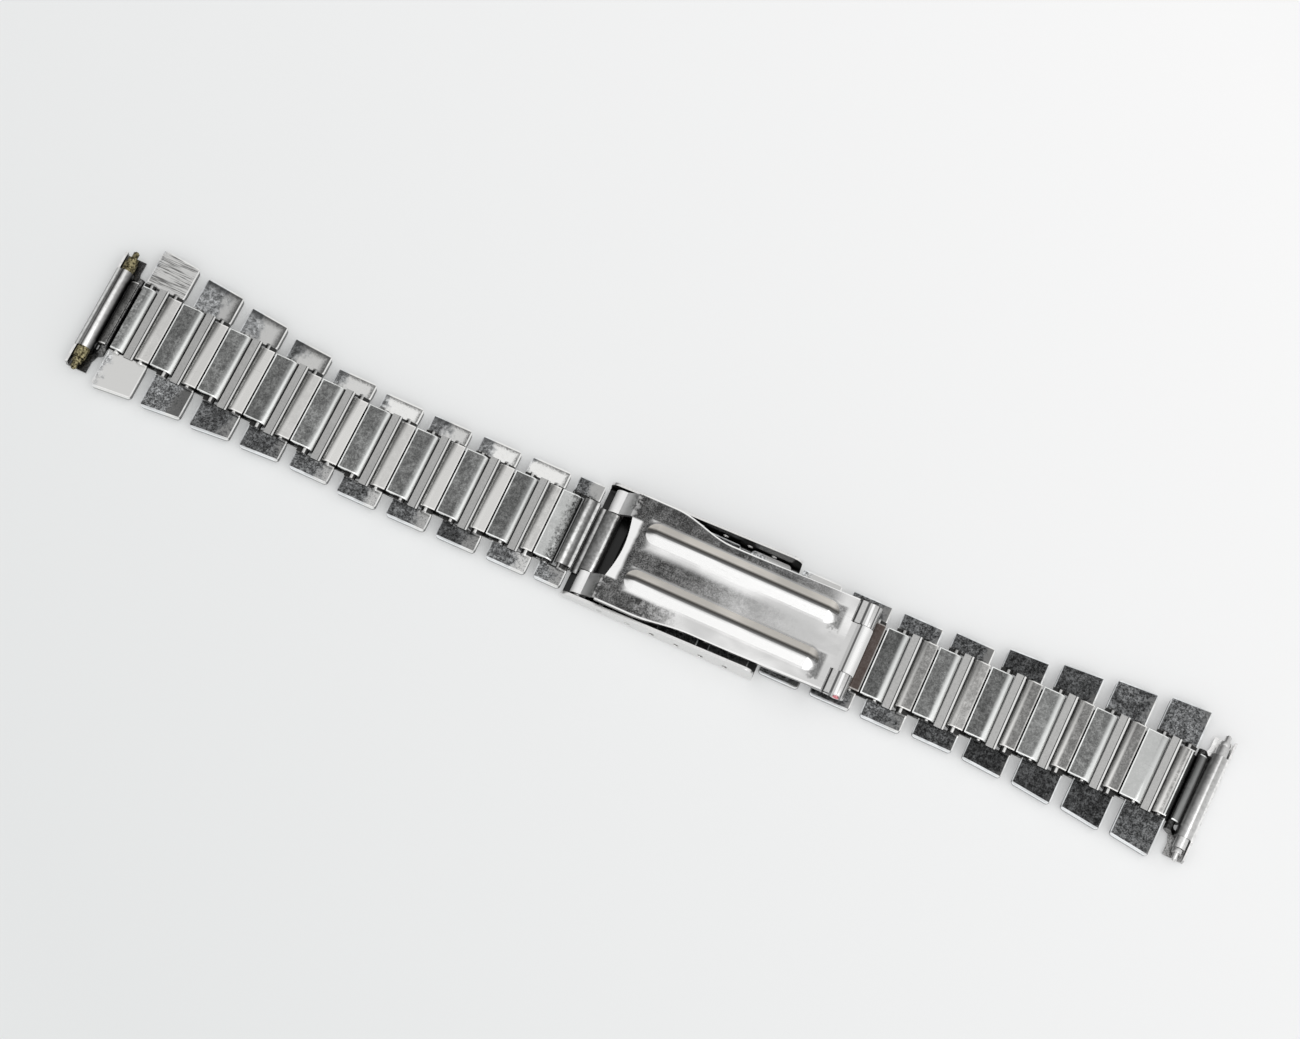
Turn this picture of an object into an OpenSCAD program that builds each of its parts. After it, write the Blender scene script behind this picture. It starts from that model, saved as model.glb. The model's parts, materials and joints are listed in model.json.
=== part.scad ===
// Steel watch bracelet of folded-clip links with a three-leaf fold-over clasp.
// Millimetres. +Z points to the wrist. X runs along the clasp, left strand at -X.
// Origin: middle of the clasp cover's outer face.

/* [Strand] */
// Width of the straight links
link_w = 14.5; // [14:0.1:15]
// Width of the widest link, next to the watch
end_link_w = 19.8; // [18.8:0.1:20.4]
// Length of a link plate along the strand
link_len = 5.35; // [5.2:0.05:5.5]
// Distance between two neighbouring hinge lines
hinge_pitch = 3.4; // [3.36:0.02:3.46]
// Diameter of the cross bars that the clips turn on
bar_d = 1.1; // [1.06:0.02:1.14]
// Thickness of the clip sheet
clip_t = 0.4; // [0.36:0.02:0.42]
// Radial play of a clip on its bar
bar_play = 0.05; // [0.04:0.01:0.06]
// Width of the open seam on the clips' wrist side
seam_w = 0.2; // [0.1:0.05:0.4]

/* [Watch end] */
// Width between the watch's lugs
lug_w = 18; // [17.6:0.1:18.4]
// Diameter of the spring bar's tube
spring_bar_d = 1.7; // [1.64:0.02:1.76]
// Diameter of the spring bar's tips
tip_d = 0.8; // [0.7:0.05:0.85]

/* [Clasp] */
// Length of the cover
cover_len = 25.9; // [25.6:0.1:26.4]
// Height of the cover's side walls above its outer face
cover_h = 4.3; // [4:0.1:4.6]
// Height of the walls at the end with the hinge pin
hinge_end_h = 2.6; // [2.5:0.1:3]
// Sheet thickness of the cover's walls
wall_t = 0.4; // [0.35:0.05:0.5]
// Gap between a link's end and the cover's wall
side_gap = 0.35; // [0.25:0.05:0.45]
// Distance between two adjusting holes
adjust_pitch = 3.3; // [3.2:0.05:3.35]
// Height of the inner blade's ribs
rib_h = 0.7; // [0.5:0.1:0.9]

/* [Hidden] */
$fn = 36;
floor_t = 0.5;
floor_gap = 0.1;

// Clip and bar sizes
bar_r = bar_d / 2;
fold_in = bar_r + bar_play;
fold_out = fold_in + clip_t;
axis_z = floor_t + floor_gap + fold_out;
clip_w = link_w - 5.3;
slot_half = clip_w / 2 + 0.3;
wing_low = -fold_out;
wing_top = 0.1;
mid_bar_w = 1.24;
short_link_len = link_len - 1.75;
mid_bar_low = -0.45;
mid_bar_top = 0.35;
corner_r = 0.5;

// Clasp sizes
cover_in = link_w / 2 + side_gap;
cover_out = cover_in + wall_t;
cover_end = cover_len / 2;
blade_t = 0.55;
pin_r = 0.4;
pin_play = 0.03;
eye_in = pin_r + pin_play;
eye_out = eye_in + blade_t;
strand_pin_r = 0.52;
ear_in = strand_pin_r + pin_play;
ear_out = 1.05;
cover_pin_x = -cover_end + 5.3;
cover_pin_z = 1.7;
fold_pin_x = cover_end + 10.4;
fold_pin_z = 3.6;
strand_pin_x = -cover_end + 2;
middle_z = 3.175;
inner_z = 3.9;
inner_t = 0.6;
inner_top = inner_z + inner_t / 2;
blade_half = link_w / 2 - 0.9;
middle_half = blade_half - 0.05;
wide_half = cover_in - 0.1;
ear_half = link_w / 2 + 0.05;
ear_from = clip_w / 2 - 0.4;
tongue_clip_half = ear_from - 0.1;
tongue_half = 3.25;
knuckle_from = tongue_half + 0.05;
blade_end_x = fold_pin_x - eye_out - 0.12;
notch_x = strand_pin_x + 2.3;
notch_bow = 0.6;
wide_end_x = notch_x + 4.65;
narrow_from_x = notch_x + 12.75;
waist_off = -0.4;
middle_waist = blade_half - 0.75;
lip_end_x = fold_pin_x - eye_out - 0.85;
knuckle_notch_x = lip_end_x - 0.2;
rib_y = 3.3;
rib_half = 1.7;
rib_from_x = notch_x + 2.05;
rib_to_x = fold_pin_x - 3.45;

// Adjusting bar
adjust_x = -cover_end + 9.1;
adjust_r = 0.6;
adjust_fold_in = adjust_r + 0.05;
adjust_fold_out = adjust_fold_in + clip_t;
adjust_bore = 0.47;
adjust_tip_r = 0.34;
adjust_hole_r = 0.38;
adjust_travel = 0.7;
adjust_collar = cover_in - 1.25;
first_clip_len = 4.55;

// End pieces and spring bars
end_clip_len = 1.75;
end_half = lug_w / 2 - 0.75;
bar_to_hinge = 2.2;
tube_r = spring_bar_d / 2;
tab_in = tube_r + 0.03;
tab_out = tab_in + 0.27;
tab_half = end_half - 2.55;
base_low = -1.35;
base_t = 0.35;
rim_t = 0.3;
rim_x = bar_to_hinge + 0.97 + rim_t / 2;
tip_r = tip_d / 2;
tip_len = 0.9;
shoulder_r = 0.68;
shoulder_t = 0.55;
tube_half = lug_w / 2 - 1.85;
tube_bore = tube_r - 0.22;
mouth_t = 0.5;
collar_len = 0.95;
collar_r = tube_bore - 0.05;
tip_travel = 1.15;

// Widths of the links at their inner and outer ends, numbered from the clasp
widening = [0, 0, 0, 0, 0, 0, 0.226, 0.509, 0.755, 1];
function width_at(i) = link_w + (end_link_w - link_w) * widening[i];
function slant(i) = i < 6 ? 0 : (i == 6 ? 0.3 : 0.5);

// Distances between the hinge lines, from the clasp outwards
function left_step(k) = k == 0 ? hinge_pitch
    : k == 1 ? 2.1
    : k == 2 ? hinge_pitch - 0.8
    : k == 20 ? end_clip_len
    : hinge_pitch;
function right_step(k) = k == 0 ? first_clip_len
    : k == 20 ? end_clip_len
    : hinge_pitch;

// Turns of the plates in plan, and sideways shifts of the clips in their slots, as the bracelet lies
left_turn = [0, 0, 0, 0.1, 0.4, 0.7, 0.9, 0.8, 0.7, 0.6];
left_slide = [-0.1, -0.1, 0, -0.1, 0.15, 0.24, 0.24, 0.24, 0.2, 0.2];
right_turn = [0, 0, 0, 0, -0.2, -0.5, -1, -1.6, -2.2, -2.7];
right_slide = [0, 0.13, 0.23, -0.16, 0.2, 0.24, 0.24, 0.24, 0.24, 0.2];
function turn_of(list, k) = k <= 0 ? list[0] / 2
    : k >= 20 ? list[9]
    : k % 2 == 1 ? list[(k - 1) / 2]
    : (list[k / 2 - 1] + list[k / 2]) / 2;
end_clip_slide = -0.24;
end_piece_slide = -0.22;
function slide_of(list, k) = k == 21 ? end_piece_slide
    : k == 20 ? end_clip_slide
    : k % 2 == 1 ? list[(k - 1) / 2]
    : list[k / 2 - 1];

// Direction of element k of a strand, seen from above
function left_dir(k) = 180 - turn_of(left_turn, k);
function right_dir(k) = turn_of(right_turn, k);
function left_pos(k) = k == 0 ? [strand_pin_x, 0]
    : left_pos(k - 1) + left_step(k - 1) * [cos(left_dir(k - 1)), sin(left_dir(k - 1))]
      + [0, slide_of(left_slide, k)];
function right_pos(k) = k == 0 ? [adjust_x, 0]
    : right_pos(k - 1) + right_step(k - 1) * [cos(right_dir(k - 1)), sin(right_dir(k - 1))]
      + [0, slide_of(right_slide, k)];

// Which piece to show

// Outline of a bent sheet of thickness t that follows the points p
function unit_normal(a, b) = [a[1] - b[1], b[0] - a[0]] / norm(b - a);
function corner_shift(p, i) =
    let(last = len(p) - 1,
        n1 = i > 0 ? unit_normal(p[i - 1], p[i]) : unit_normal(p[0], p[1]),
        n2 = i < last ? unit_normal(p[i], p[i + 1]) : unit_normal(p[last - 1], p[last]))
    (n1 + n2) / (1 + n1 * n2);
function sheet(p, t) = concat(
    [for (i = [0 : len(p) - 1]) p[i] + corner_shift(p, i) * t / 2],
    [for (i = [len(p) - 1 : -1 : 0]) p[i] - corner_shift(p, i) * t / 2]);

// Extrudes a section drawn in X and Z across the strand, from y0 to y1
module across(y0, y1) {
    translate([0, y1, 0])
        rotate([90, 0, 0])
            linear_extrude(height = y1 - y0)
                children();
}

module both_sides() {
    children();
    mirror([0, 1, 0])
        children();
}

module ring(inner, outer) {
    difference() {
        circle(r = outer);
        circle(r = inner);
    }
}

module round_pin(r, y0, y1) {
    translate([0, y1, 0])
        rotate([90, 0, 0])
            cylinder(r = r, h = y1 - y0);
}

// Corner arc in five short flats, from angle a0 to a1
function corner(x, y, r, a0, a1) =
    [for (i = [0 : 5]) [x + r * cos(a0 + (a1 - a0) * i / 5), y + r * sin(a0 + (a1 - a0) * i / 5)]];

// Plate outline with rounded corners; w0 and w1 are the widths at its two ends
module plate_outline(len_x, w0, w1, r) {
    a = atan((w1 - w0) / 2 / len_x);
    h = len_x / 2;
    y0 = w0 / 2 + tan(a) * r - r / cos(a);
    y1 = w1 / 2 - tan(a) * r - r / cos(a);
    polygon(concat(
        corner(-h + r, y0, r, 180, 90 + a),
        corner(h - r, y1, r, 90 + a, 0),
        corner(h - r, -y1, r, 0, -90 - a),
        corner(-h + r, -y0, r, -90 - a, -180)));
}

// Section across the strand of one wing, flat on top up to the clips' ends
module wing_section(half_w) {
    polygon([
        [slot_half, -bar_r], [slot_half, wing_top],
        [half_w, wing_top], [half_w, wing_low],
        [slot_half + 0.7, wing_low], [slot_half + 0.25, -bar_r]
    ]);
}

// Cross bar with a flat tongue of length reach towards the plate's edge
module bar_section(reach) {
    circle(r = bar_r);
    if (reach > bar_r)
        polygon([[0, -0.45], [reach, -0.3], [reach, 0.3], [0, 0.45]]);
}

// Link plate. The first bar lies at x = 0, the second at x = step.
module link(step, len_x, w0, w1, shift, middle) {
    centre = step / 2 + shift;
    reach0 = len_x / 2 - centre;
    reach1 = centre + len_x / 2 - step;
    intersection() {
        translate([centre, 0, wing_low - 1])
            linear_extrude(height = 4)
                plate_outline(len_x, w0, w1, corner_r);
        union() {
            translate([centre, 0, 0])
                both_sides()
                    translate([-len_x / 2 - 1, 0, 0])
                        rotate([90, 0, 90])
                            linear_extrude(height = len_x + 2)
                                wing_section(end_link_w);
            across(-slot_half - 0.3, slot_half + 0.3)
                mirror([1, 0, 0])
                    bar_section(reach0);
            translate([step, 0, 0])
                across(-slot_half - 0.3, slot_half + 0.3)
                    bar_section(reach1);
            if (middle)
                translate([centre - mid_bar_w / 2, -slot_half - 0.2, mid_bar_low])
                    cube([mid_bar_w, 2 * slot_half + 0.4, mid_bar_top - mid_bar_low]);
        }
    }
}

// Clip of folded sheet round two bars, open along a seam on the wrist side
module folded_clip(step, in0, out0, seam_x, seam, half) {
    flat = 0.992;
    difference() {
        union() {
            round_pin(out0, -half, half);
            translate([step, 0, 0])
                round_pin(fold_out, -half, half);
            across(-half, half)
                polygon([[0, -out0 * flat], [0, out0 * flat], [step, fold_out * flat], [step, -fold_out * flat]]);
        }
        round_pin(in0, -half - 1, half + 1);
        translate([step, 0, 0])
            round_pin(fold_in, -half - 1, half + 1);
        across(-half - 1, half + 1)
            polygon([[0, -in0 * flat], [0, in0 * flat], [step, fold_in * flat], [step, -fold_in * flat]]);
        translate([seam_x - seam / 2, -half - 1, 0])
            cube([seam, 2 * half + 2, 3]);
    }
}

module clip(step, seam_x, seam) {
    folded_clip(step, fold_in, fold_out, seam_x, seam, clip_w / 2);
}

// Clip on the inner blade's pin: narrow between the ears, full width on the link
module tongue_clip(step) {
    split = 1.2;
    intersection() {
        folded_clip(step, fold_in, fold_out, 1.55, 1, clip_w / 2);
        union() {
            translate([-3, -tongue_clip_half, -3])
                cube([3.1 + split, 2 * tongue_clip_half, 6]);
            translate([split, -5 - clip_w, -3])
                cube([10, 10 + 2 * clip_w, 6]);
        }
    }
}

// Sheet end piece. Hinge bar at x = 0, spring bar at x = bar_to_hinge.
module end_piece() {
    base_top = base_low + base_t;
    // Base plate, narrowed towards the hinge bar, open under the clip
    difference() {
        translate([0, 0, base_low])
            linear_extrude(height = base_t)
                polygon([
                    [0.3, -5.4], [0.75, -6.6], [0.75, -end_half], [rim_x + rim_t / 2, -end_half],
                    [rim_x + rim_t / 2, end_half], [0.75, end_half], [0.75, 6.6], [0.3, 5.4]
                ]);
        translate([-3, -slot_half, base_low - 1])
            cube([3 + fold_out + 0.1, 2 * slot_half, 2]);
    }
    // Arms that carry the hinge bar
    both_sides()
        across(slot_half, slot_half + 0.7) {
            circle(r = bar_r);
            polygon([
                [-0.4, -0.38], [0.25, base_low], [1.4, base_low],
                [1.4, base_top], [0.9, base_top + 0.1], [0.4, 0.38]
            ]);
        }
    round_pin(bar_r, -slot_half - 0.35, slot_half + 0.35);
    // Upturned far edge
    translate([rim_x - rim_t / 2, -end_half, base_low])
        cube([rim_t, 2 * end_half, 0.35 - base_low]);
    // Tab rolled over the spring bar
    across(-tab_half, tab_half) {
        translate([bar_to_hinge, 0])
            ring(tab_in, tab_out);
        difference() {
            polygon([
                [rim_x + rim_t / 2, -0.1], [rim_x + rim_t / 2, 0.35], [rim_x - 0.1, 0.62],
                [bar_to_hinge + 0.75, 0.85], [bar_to_hinge + 0.9, -0.1]
            ]);
            translate([bar_to_hinge, 0])
                circle(r = tab_in + 0.1);
        }
    }
}

// Closed wire coil along Y, as a row of six-sided rings
function coil_point(r, wire, y0, y1, turns, i, n, j) =
    let(a = 360 * turns * i / n, c = 60 * j, rr = r + wire * cos(c))
    [rr * cos(a), y0 + (y1 - y0) * i / n + wire * sin(c), rr * sin(a)];
module coil(r, wire, y0, y1, turns) {
    n = turns * 8;
    polyhedron(
        points = [for (i = [0 : n]) for (j = [0 : 5]) coil_point(r, wire, y0, y1, turns, i, n, j)],
        faces = concat(
            [[5, 4, 3, 2, 1, 0]],
            [[for (j = [0 : 5]) n * 6 + j]],
            [for (i = [0 : n - 1]) for (j = [0 : 5])
                [i * 6 + j, i * 6 + (j + 1) % 6, (i + 1) * 6 + (j + 1) % 6, (i + 1) * 6 + j]]),
        convexity = 8);
}

// Spring bar pieces, axis along Y through the origin
module bar_barrel() {
    difference() {
        round_pin(tube_r, -tube_half, tube_half);
        round_pin(tube_bore, -tube_half + mouth_t, tube_half - mouth_t);
        round_pin(tip_r + 0.04, -tube_half - 1, tube_half + 1);
    }
}

// Drawn pressed in, as far as it travels
module bar_tip() {
    shoulder = lug_w / 2 - 0.1 - shoulder_t;
    inner_end = tube_half - mouth_t - 0.05 - collar_len;
    translate([0, -tip_travel, 0]) {
        round_pin(tip_r, inner_end, lug_w / 2 + tip_len - 0.15);
        round_pin(tip_r - 0.16, inner_end, lug_w / 2 + tip_len);
        round_pin(shoulder_r, shoulder, shoulder + shoulder_t);
        round_pin(collar_r, inner_end, inner_end + collar_len);
    }
}

module bar_spring() {
    half = tube_half - mouth_t - 0.05 - collar_len - tip_travel - 0.05;
    coil(tube_bore - 0.14, 0.09, -half + 0.1, half - 0.1, 14);
}

// Adjusting bar pieces
module adjust_barrel() {
    difference() {
        union() {
            round_pin(adjust_r, -cover_in + 0.15, cover_in - 0.15);
            round_pin(adjust_tip_r, -cover_out + 0.05, -cover_in + 1);
        }
        round_pin(adjust_bore, -cover_in + 1.2, cover_in - 0.55);
        round_pin(adjust_tip_r + 0.03, 0, cover_in + 1);
    }
}

module adjust_tip() {
    round_pin(adjust_tip_r, adjust_collar, cover_out - 0.05);
    round_pin(adjust_bore - 0.04, adjust_collar, cover_in - 0.6);
}

// The clasp's cover, with its adjusting holes
module cover_section() {
    r = 0.9;
    ri = r - floor_t;
    difference() {
        union() {
            translate([-cover_out, r])
                square([2 * cover_out, cover_h - r]);
            translate([-cover_out + r, 0])
                square([2 * (cover_out - r), r + 0.1]);
            for (s = [-1, 1])
                translate([s * (cover_out - r), r])
                    circle(r = r);
        }
        translate([-cover_in, floor_t + ri])
            square([2 * cover_in, cover_h]);
        translate([-cover_in + ri, floor_t])
            square([2 * (cover_in - ri), ri + 0.1]);
        for (s = [-1, 1])
            translate([s * (cover_in - ri), floor_t + ri])
                circle(r = ri);
    }
}

module clasp_cover() {
    r = 1.1;
    color([0.74, 0.74, 0.73])
    difference() {
        intersection() {
            translate([-cover_end, 0, 0])
                rotate([90, 0, 90])
                    linear_extrude(height = cover_len)
                        cover_section();
            across(-cover_out - 1, cover_out + 1) {
                polygon([
                    [-cover_end, -1], [cover_end, -1], [cover_end, cover_h - r], [cover_end - r, cover_h],
                    [-cover_end + r, hinge_end_h], [-cover_end, hinge_end_h - r]
                ]);
                translate([cover_end - r, cover_h - r])
                    circle(r = r);
                translate([-cover_end + r, hinge_end_h - r])
                    circle(r = r);
            }
        }
        for (i = [0 : 4])
            translate([adjust_x + i * adjust_pitch, 0, axis_z])
                round_pin(adjust_hole_r, -cover_out - 1, cover_out + 1);
        translate([cover_pin_x, 0, cover_pin_z])
            round_pin(pin_r, -cover_out - 1, cover_out + 1);
    }
}

module cover_hinge_pin() {
    color([0.66, 0.66, 0.65])
    translate([cover_pin_x, 0, cover_pin_z])
        round_pin(pin_r, -cover_out, cover_out);
}

module middle_blade() {
    color([0.7, 0.7, 0.69])
    difference() {
        union() {
            across(-middle_half, middle_half) {
                translate([cover_pin_x, cover_pin_z])
                    circle(r = eye_out);
                polygon(sheet([
                    [cover_pin_x, cover_pin_z + eye_in + blade_t / 2],
                    [cover_pin_x + 0.8, cover_pin_z + eye_in + blade_t / 2],
                    [cover_pin_x + 1.9, middle_z],
                    [blade_end_x, middle_z]
                ], blade_t));
            }
            both_sides()
                across(knuckle_from, middle_half) {
                    translate([fold_pin_x, fold_pin_z])
                        circle(r = eye_out);
                    polygon(sheet([
                        [blade_end_x - 1, middle_z],
                        [blade_end_x, middle_z],
                        [fold_pin_x - 0.4, fold_pin_z - eye_in - blade_t / 2],
                        [fold_pin_x, fold_pin_z - eye_in - blade_t / 2]
                    ], blade_t));
                    // Free end of the roll, laid over towards the plate
                    polygon(sheet([
                        [lip_end_x, fold_pin_z + eye_in + 0.1],
                        [fold_pin_x - 0.7, fold_pin_z + eye_in + blade_t / 2 - 0.04],
                        [fold_pin_x, fold_pin_z + eye_in + blade_t / 2]
                    ], blade_t));
                }
        }
        both_sides()
            translate([cover_pin_x + 2.4, middle_waist, middle_z - blade_t])
                cube([blade_end_x - cover_pin_x - 4.8, cover_out, 2 * blade_t]);
        translate([cover_pin_x, 0, cover_pin_z])
            round_pin(eye_in, -cover_out, cover_out);
        translate([fold_pin_x, 0, fold_pin_z])
            round_pin(eye_in, -cover_out, cover_out);
    }
}

// Plan of one edge of the inner blade: the wide part curves in, and the rest bows back to the knuckles
function blade_edge(s) = concat(
    [for (i = [0 : 10])
        [wide_end_x + (narrow_from_x - wide_end_x) * i / 10,
         s * (blade_half + (wide_half - blade_half) * (1 + cos(18 * i)) / 2)
         + waist_off * (1 - cos(18 * i)) / 2]],
    [for (i = [1 : 6])
        [narrow_from_x + (knuckle_notch_x - narrow_from_x) * i / 6,
         s * blade_half + waist_off * cos(15 * i)]]);

// Plan of the bowed edge between the two ears
function notch_edge() = [
    for (i = [-10 : 10])
        [notch_x + notch_bow * cos(9 * i), ear_from * i / 10]];

module rib(top) {
    section = [[0, -inner_t / 2], [rib_half, -inner_t / 2], [rib_half, 0],
               [rib_half - 0.25, rib_h * 0.08], [0.18, rib_h * 0.94], [0, rib_h]];
    straight = rib_to_x - rib_from_x - 2 * rib_half;
    translate([rib_from_x + rib_half, 0, top]) {
        rotate([90, 0, 90])
            linear_extrude(height = straight) {
                polygon(section);
                mirror([1, 0])
                    polygon(section);
            }
        rotate_extrude()
            polygon(section);
        translate([straight, 0, 0])
            rotate_extrude()
                polygon(section);
    }
}

module inner_blade() {
    color([0.76, 0.76, 0.75])
    difference() {
        union() {
            // Flat part with both ribs
            difference() {
                union() {
                    translate([0, 0, inner_top - inner_t])
                        linear_extrude(height = inner_t)
                            polygon(concat(
                                [[notch_x, wide_half]], blade_edge(1),
                                [[knuckle_notch_x, tongue_half], [blade_end_x, tongue_half],
                                 [blade_end_x, -tongue_half], [knuckle_notch_x, -tongue_half]],
                                [for (i = [16 : -1 : 0]) blade_edge(-1)[i]],
                                [[notch_x, -wide_half]], notch_edge()));
                    for (s = [-1, 1])
                        translate([0, s * rib_y, 0])
                            rib(inner_top);
                }
                for (s = [-1, 1])
                    translate([0, s * rib_y, 0])
                        rib(inner_top - inner_t);
            }
            // Ears rolled on the strand's pin
            both_sides()
                across(ear_from, ear_half) {
                    translate([strand_pin_x, axis_z])
                        circle(r = ear_out);
                    polygon(sheet([
                        [strand_pin_x, axis_z + ear_out - 0.25],
                        [strand_pin_x + 0.5, axis_z + ear_out - 0.2],
                        [strand_pin_x + 2.1, inner_z + 0.02],
                        [notch_x + 0.8, inner_z + 0.02]
                    ], 0.5));
                }
            // Tongue rolled on the folding pin
            across(-tongue_half, tongue_half) {
                translate([fold_pin_x, fold_pin_z])
                    circle(r = eye_out);
                polygon(sheet([
                    [blade_end_x - 1, inner_z],
                    [blade_end_x, inner_z],
                    [fold_pin_x - 0.45, fold_pin_z + eye_in + blade_t / 2],
                    [fold_pin_x, fold_pin_z + eye_in + blade_t / 2]
                ], blade_t));
            }
        }
        translate([strand_pin_x, 0, axis_z])
            round_pin(ear_in, -cover_out, cover_out);
        translate([fold_pin_x, 0, fold_pin_z])
            round_pin(eye_in, -cover_out, cover_out);
    }
}

module blade_pins() {
    color([0.62, 0.62, 0.6]) {
        translate([strand_pin_x, 0, axis_z])
            round_pin(strand_pin_r, -ear_half - 0.1, ear_half + 0.1);
        translate([fold_pin_x, 0, fold_pin_z])
            round_pin(pin_r, -middle_half - 0.1, middle_half + 0.1);
    }
}

module adjust_bar_barrel() {
    color([0.6, 0.6, 0.58])
    translate([adjust_x, 0, axis_z])
        adjust_barrel();
}

module adjust_bar_spring() {
    color([0.55, 0.55, 0.54])
    translate([adjust_x, 0, axis_z])
        coil(adjust_bore - 0.12, 0.08, -cover_in + 1.4, adjust_collar - adjust_travel - 0.15, 14);
}

module adjust_bar_tip() {
    color([0.62, 0.62, 0.6])
    translate([adjust_x, 0, axis_z])
        adjust_tip();
}

// Placing of element k of a strand; its hinge line is the local Y axis
module on_left(k) {
    translate([left_pos(k)[0], left_pos(k)[1], axis_z])
        rotate([0, 0, left_dir(k)])
            children();
}

module on_right(k) {
    translate([right_pos(k)[0], right_pos(k)[1], axis_z])
        rotate([0, 0, right_dir(k)])
            children();
}

module left_link(i) {
    color([0.72, 0.72, 0.71])
    on_left(2 * i - 1)
        if (i == 1)
            link(left_step(1), short_link_len, width_at(0), width_at(0), -0.2, false);
        else
            link(hinge_pitch, link_len, width_at(i - 1) - slant(i - 1),
                 width_at(i - 1) + slant(i - 1), 0, true);
}

module right_link(i) {
    color([0.72, 0.72, 0.71])
    on_right(2 * i - 1)
        link(hinge_pitch, link_len, width_at(i - 1) - slant(i - 1),
             width_at(i - 1) + slant(i - 1), 0, true);
}

module left_clip(i) {
    color([0.8, 0.8, 0.79])
    on_left(2 * i - 2)
        if (i == 1)
            tongue_clip(hinge_pitch);
        else if (i == 11)
            clip(end_clip_len, 1.2, 0.7);
        else
            clip(left_step(2 * i - 2), left_step(2 * i - 2) / 2 + 0.45, seam_w);
}

module right_clip(i) {
    color([0.8, 0.8, 0.79])
    on_right(2 * i - 2)
        if (i == 1)
            folded_clip(first_clip_len, adjust_fold_in, adjust_fold_out, 3.4, seam_w, clip_w / 2);
        else if (i == 11)
            clip(end_clip_len, 1.2, 0.7);
        else
            clip(hinge_pitch, hinge_pitch / 2 - 0.45, seam_w);
}

module left_end_piece() {
    color([0.74, 0.74, 0.72])
    on_left(21)
        end_piece();
}

module right_end_piece() {
    color([0.74, 0.74, 0.72])
    on_right(21)
        end_piece();
}

module left_bar() {
    on_left(21)
        translate([bar_to_hinge, 0, 0])
            children();
}

module right_bar() {
    on_right(21)
        translate([bar_to_hinge, 0, 0])
            children();
}

module left_bar_barrel() {
    color([0.55, 0.52, 0.4])
    left_bar()
        bar_barrel();
}

module left_bar_spring() {
    color([0.5, 0.5, 0.48])
    left_bar()
        bar_spring();
}

module left_bar_tip_a() {
    color([0.6, 0.54, 0.34])
    left_bar()
        bar_tip();
}

module left_bar_tip_b() {
    color([0.6, 0.54, 0.34])
    left_bar()
        mirror([0, 1, 0])
            bar_tip();
}

module right_bar_barrel() {
    color([0.7, 0.7, 0.69])
    right_bar()
        bar_barrel();
}

module right_bar_spring() {
    color([0.5, 0.5, 0.48])
    right_bar()
        bar_spring();
}

module right_bar_tip_a() {
    color([0.74, 0.74, 0.73])
    right_bar()
        bar_tip();
}

module right_bar_tip_b() {
    color([0.74, 0.74, 0.73])
    right_bar()
        mirror([0, 1, 0])
            bar_tip();
}

clasp_cover();
cover_hinge_pin();
middle_blade();
inner_blade();
blade_pins();
adjust_bar_barrel();
adjust_bar_spring();
adjust_bar_tip();
left_link(1);  // left_link_01
left_link(2);  // left_link_02
left_link(3);  // left_link_03
left_link(4);  // left_link_04
left_link(5);  // left_link_05
left_link(6);  // left_link_06
left_link(7);  // left_link_07
left_link(8);  // left_link_08
left_link(9);  // left_link_09
left_link(10);  // left_link_10
left_clip(1);  // left_clip_01
left_clip(2);  // left_clip_02
left_clip(3);  // left_clip_03
left_clip(4);  // left_clip_04
left_clip(5);  // left_clip_05
left_clip(6);  // left_clip_06
left_clip(7);  // left_clip_07
left_clip(8);  // left_clip_08
left_clip(9);  // left_clip_09
left_clip(10);  // left_clip_10
left_clip(11);  // left_clip_11
right_link(1);  // right_link_01
right_link(2);  // right_link_02
right_link(3);  // right_link_03
right_link(4);  // right_link_04
right_link(5);  // right_link_05
right_link(6);  // right_link_06
right_link(7);  // right_link_07
right_link(8);  // right_link_08
right_link(9);  // right_link_09
right_link(10);  // right_link_10
right_clip(1);  // right_clip_01
right_clip(2);  // right_clip_02
right_clip(3);  // right_clip_03
right_clip(4);  // right_clip_04
right_clip(5);  // right_clip_05
right_clip(6);  // right_clip_06
right_clip(7);  // right_clip_07
right_clip(8);  // right_clip_08
right_clip(9);  // right_clip_09
right_clip(10);  // right_clip_10
right_clip(11);  // right_clip_11
left_end_piece();
right_end_piece();
left_bar_barrel();
left_bar_spring();
left_bar_tip_a();
left_bar_tip_b();
right_bar_barrel();
right_bar_spring();
right_bar_tip_a();
right_bar_tip_b();
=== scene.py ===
"""Steel watch bracelet lying wrist side up on a pale table: finishes for its solids, light and camera."""

import json
import math

import bpy
import numpy as np
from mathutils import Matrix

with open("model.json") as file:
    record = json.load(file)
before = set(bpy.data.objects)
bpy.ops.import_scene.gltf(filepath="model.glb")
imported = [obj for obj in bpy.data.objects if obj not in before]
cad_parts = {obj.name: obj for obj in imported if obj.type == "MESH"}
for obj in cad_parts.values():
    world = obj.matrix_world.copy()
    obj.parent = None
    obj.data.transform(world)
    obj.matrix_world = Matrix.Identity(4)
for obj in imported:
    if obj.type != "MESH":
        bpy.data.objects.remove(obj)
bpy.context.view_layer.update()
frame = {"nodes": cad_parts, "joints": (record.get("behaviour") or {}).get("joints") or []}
nodes = frame["nodes"]


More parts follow.
